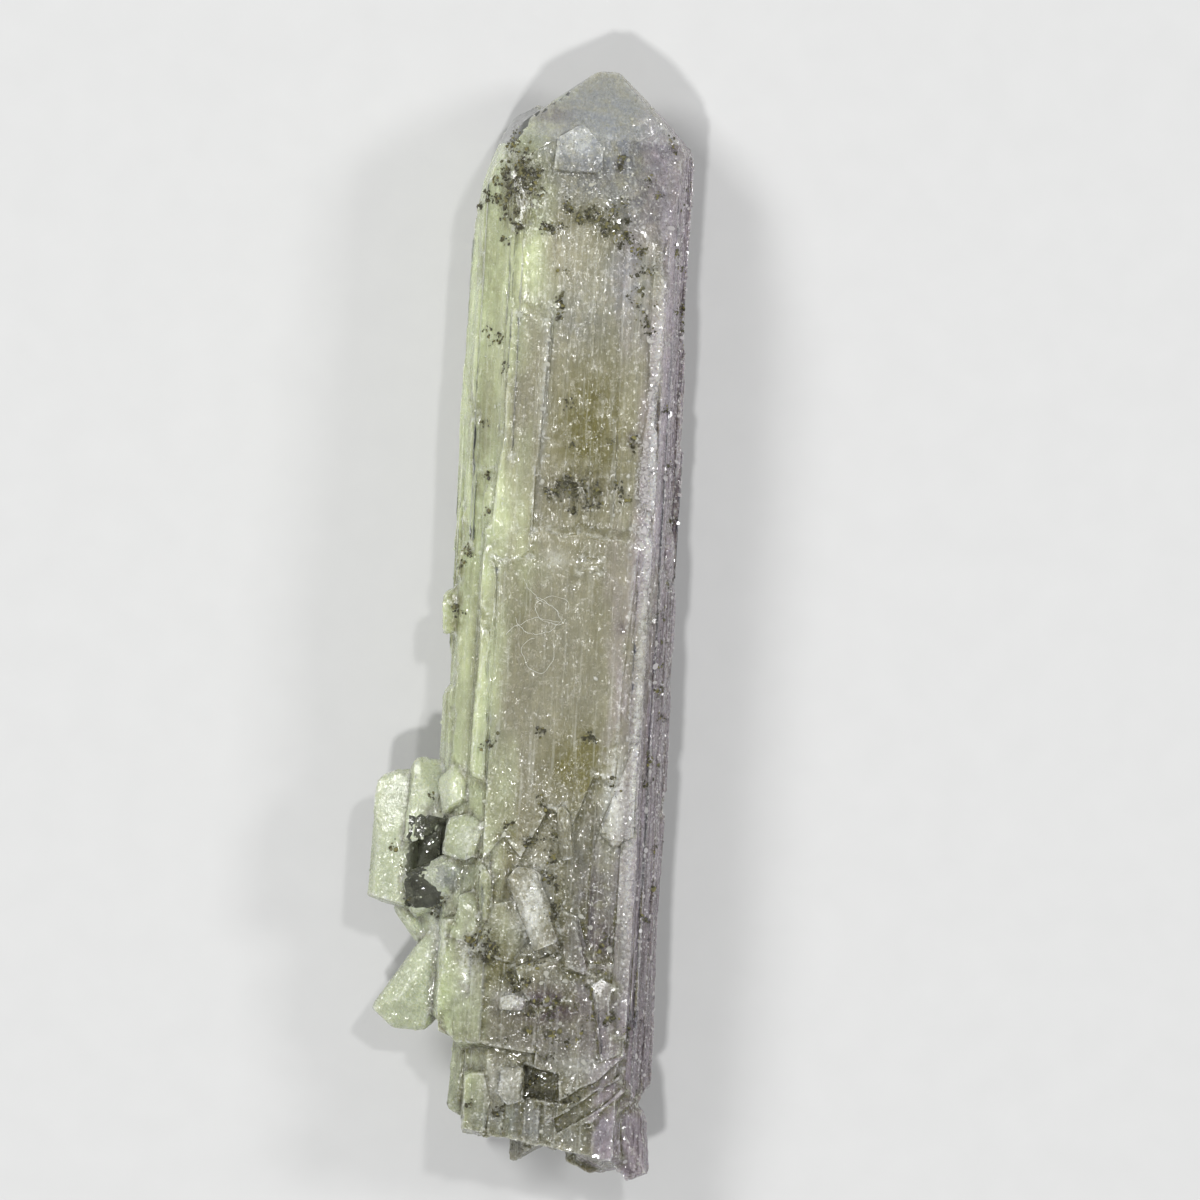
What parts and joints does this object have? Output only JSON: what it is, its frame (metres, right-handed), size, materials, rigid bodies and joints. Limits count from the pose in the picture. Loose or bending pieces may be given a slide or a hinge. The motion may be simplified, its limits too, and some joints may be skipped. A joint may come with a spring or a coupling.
{
  "type": "danburite crystal",
  "caption": "Broken-off danburite prism with a chisel-shaped tip, ribbed walls and a spray of small crystals near its splintered foot; lies on its flat back face.",
  "frame": {"origin": "centre of the crystal's outer box at its lowest point, which is the flat back face that it lies on", "axes": "+Y along the prism towards the chisel tip, +Z out of the front face that carries the small crystals, +X to the right of that face with the tip up, away from the spray of side crystals"},
  "size_m": [0.018, 0.0666, 0.0107],
  "materials": {
    "cloudy_danburite": "milky to half clear crystal with a glassy, finely ribbed surface; greenish yellow on the left wall, lilac grey on the right, dusted with dark green-brown specks"
  },
  "bodies": {
    "root": {"danburite_crystal": "cloudy_danburite"}
  },
  "joints": []
}
